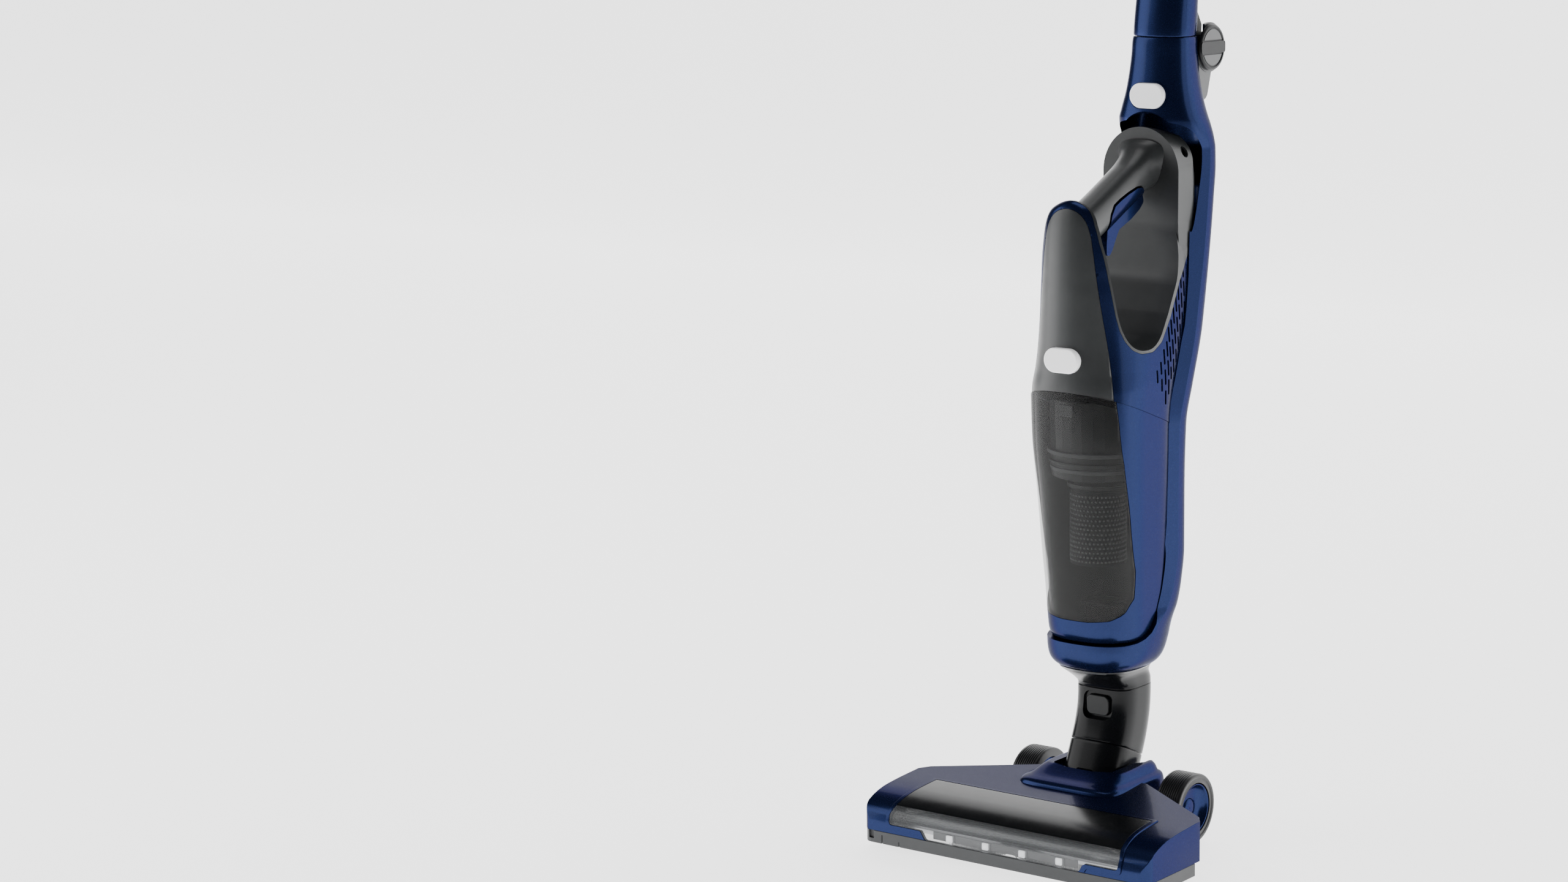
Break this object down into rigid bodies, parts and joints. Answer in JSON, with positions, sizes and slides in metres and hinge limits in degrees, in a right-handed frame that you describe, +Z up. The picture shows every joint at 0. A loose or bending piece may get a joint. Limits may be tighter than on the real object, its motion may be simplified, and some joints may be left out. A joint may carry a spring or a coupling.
{
  "type": "upright vacuum cleaner",
  "caption": "Cordless stick vacuum cleaner: wheeled brush head, jointed neck, frame with folding handle and a docked hand vacuum with clear dust bin.",
  "frame": {"origin": "centre of the bounding box in X and Y, on the floor", "axes": "+X to the right of someone facing the front of the machine from the front-left view used, -Y is the front of the floor head, +Z up"},
  "size_m": [0.26, 0.3234, 1.1],
  "materials": {
    "blue_gloss": "gloss",
    "smoked_clear": "gloss",
    "bumper_grey": "matte",
    "dark_plastic": "matte",
    "felt": "matte",
    "lamp_white": "gloss",
    "brush_alloy": "satin",
    "bristle": "matte",
    "steel": "satin",
    "rubber": "matte",
    "tyre": "satin",
    "black_gloss": "gloss",
    "black_satin": "satin",
    "light_grey": "satin",
    "chrome_plate": "polished",
    "grey_satin": "satin",
    "soft_grey": "matte",
    "filter_pleat": "matte",
    "battery_cell": "satin",
    "board_green": "satin"
  },
  "bodies": {
    "head": {"head_top_cover": "blue_gloss", "brush_window": "smoked_clear", "front_bumper": "bumper_grey", "head_base": "dark_plastic", "duct_hose": "dark_plastic", "felt_strip": "felt", "led_strip": "lamp_white", "brush_bearing_left": "steel", "brush_bearing_right": "steel", "brush_motor": "steel", "drive_belt": "rubber", "wheel_axle_left": "steel", "wheel_axle_right": "steel", "neck_pivot_pin_left": "steel", "neck_pivot_pin_right": "steel"},
    "brush": {"brush_core": "brush_alloy", "bristle_strip_a": "bristle", "bristle_strip_b": "bristle", "brush_pulley": "dark_plastic"},
    "brush_drive": {"motor_pulley": "dark_plastic"},
    "wheel_left": {"tyre_left": "tyre", "wheel_hub_left": "blue_gloss"},
    "wheel_right": {"tyre_right": "tyre", "wheel_hub_right": "blue_gloss"},
    "yoke": {"neck_yoke": "black_gloss"},
    "neck": {"neck_tube": "black_gloss"},
    "neck_button": {"neck_release_button": "black_satin"},
    "frame": {"frame_shell": "blue_gloss", "frame_back_cover": "light_grey", "frame_collar": "black_gloss", "duct_gasket": "rubber", "frame_latch": "dark_plastic", "fold_bracket": "light_grey", "fold_pin": "steel", "fold_cap": "grey_satin"},
    "frame_button": {"frame_release_button": "chrome_plate"},
    "knob": {"fold_knob": "grey_satin"},
    "handle": {"handle_tube": "blue_gloss", "handle_back_strip": "grey_satin", "fold_knuckle": "dark_plastic", "handle_grip": "soft_grey", "grip_cap": "dark_plastic"},
    "switch": {"handle_switch": "light_grey"},
    "hand_vacuum": {"motor_shell": "blue_gloss", "front_cover": "grey_satin", "rear_housing": "grey_satin", "charge_socket": "black_satin", "battery_pack": "battery_cell", "fan_motor": "steel", "control_board": "board_green"},
    "fan": {"impeller": "light_grey"},
    "trigger": {"hand_trigger": "blue_gloss"},
    "bin_button": {"bin_release_button": "chrome_plate"},
    "dust_bin": {"bin_shell": "blue_gloss", "bin_window": "smoked_clear", "filter_frame": "dark_plastic", "filter_cone": "filter_pleat", "inlet_tube": "black_gloss", "bin_catch": "light_grey"},
    "flap": {"inlet_flap": "rubber"}
  },
  "joints": [
    {"name": "brush_spin", "type": "hinge", "parent": "head", "child": "brush", "pos_m": [0, -0.13391, 0.0215], "axis": [1, 0, 0], "continuous": true},
    {"name": "brush_motor_spin", "type": "hinge", "parent": "head", "child": "brush_drive", "pos_m": [0, -0.09091, 0.026], "axis": [1, 0, 0], "continuous": true},
    {"name": "wheel_left_spin", "type": "hinge", "parent": "head", "child": "wheel_left", "pos_m": [-0.067, -0.01191, 0.0275], "axis": [1, 0, 0], "continuous": true},
    {"name": "wheel_right_spin", "type": "hinge", "parent": "head", "child": "wheel_right", "pos_m": [0.067, -0.01191, 0.0275], "axis": [1, 0, 0], "continuous": true},
    {"name": "neck_tilt", "type": "hinge", "parent": "head", "child": "yoke", "pos_m": [0, -0.03091, 0.038], "axis": [-1, 0, 0], "range_deg": [0, 50]},
    {"name": "neck_swivel", "type": "hinge", "parent": "yoke", "child": "neck", "pos_m": [0, -0.03091, 0.038], "axis": [0, 0.4067, 0.9135], "range_deg": [-60, 60]},
    {"name": "neck_button_press", "type": "slide", "parent": "neck", "child": "neck_button", "axis": [0, 1, 0], "range_m": [0, 0.0018], "stiffness_N_per_m": 600, "springref_m": -0.001},
    {"name": "frame_lift", "type": "slide", "parent": "neck", "child": "frame", "axis": [0, 0, 1], "range_m": [0, 0.06]},
    {"name": "frame_button_press", "type": "slide", "parent": "frame", "child": "frame_button", "axis": [0, 1, 0], "range_m": [0, 0.002], "stiffness_N_per_m": 600, "springref_m": -0.001},
    {"name": "fold_knob_turn", "type": "hinge", "parent": "frame", "child": "knob", "pos_m": [0.024, 0.09159, 0.605], "axis": [1, 0, 0], "range_deg": [0, 90]},
    {"name": "handle_fold", "type": "hinge", "parent": "frame", "child": "handle", "pos_m": [0, 0.09159, 0.605], "axis": [-1, 0, 0], "range_deg": [0, 165]},
    {"name": "switch_slide", "type": "slide", "parent": "handle", "child": "switch", "axis": [0, 0, 1], "range_m": [0, 0.002]},
    {"name": "hand_vacuum_undock", "type": "slide", "parent": "frame", "child": "hand_vacuum", "axis": [0, -0.9063, 0.4226], "range_m": [0, 0.2]},
    {"name": "fan_spin", "type": "hinge", "parent": "hand_vacuum", "child": "fan", "pos_m": [0, -0.03078, 0.3457], "axis": [0, 0.3486, 0.9373], "continuous": true},
    {"name": "trigger_press", "type": "slide", "parent": "hand_vacuum", "child": "trigger", "axis": [0, -0.4321, 0.9018], "range_m": [0, 0.0012], "stiffness_N_per_m": 600, "springref_m": -0.001},
    {"name": "bin_button_press", "type": "slide", "parent": "hand_vacuum", "child": "bin_button", "axis": [0, 1, 0], "range_m": [0, 0.002], "stiffness_N_per_m": 600, "springref_m": -0.001},
    {"name": "bin_slide", "type": "slide", "parent": "hand_vacuum", "child": "dust_bin", "axis": [0, -0.9373, 0.3486], "range_m": [0, 0.12]},
    {"name": "flap_open", "type": "hinge", "parent": "dust_bin", "child": "flap", "pos_m": [0, -0.00691, 0.1832], "axis": [-1, 0, 0], "range_deg": [0, 70]}
  ],
  "couplings": [
    {"joint": "brush_motor_spin", "follows": "brush_spin", "ratio": 1.6667}
  ]
}
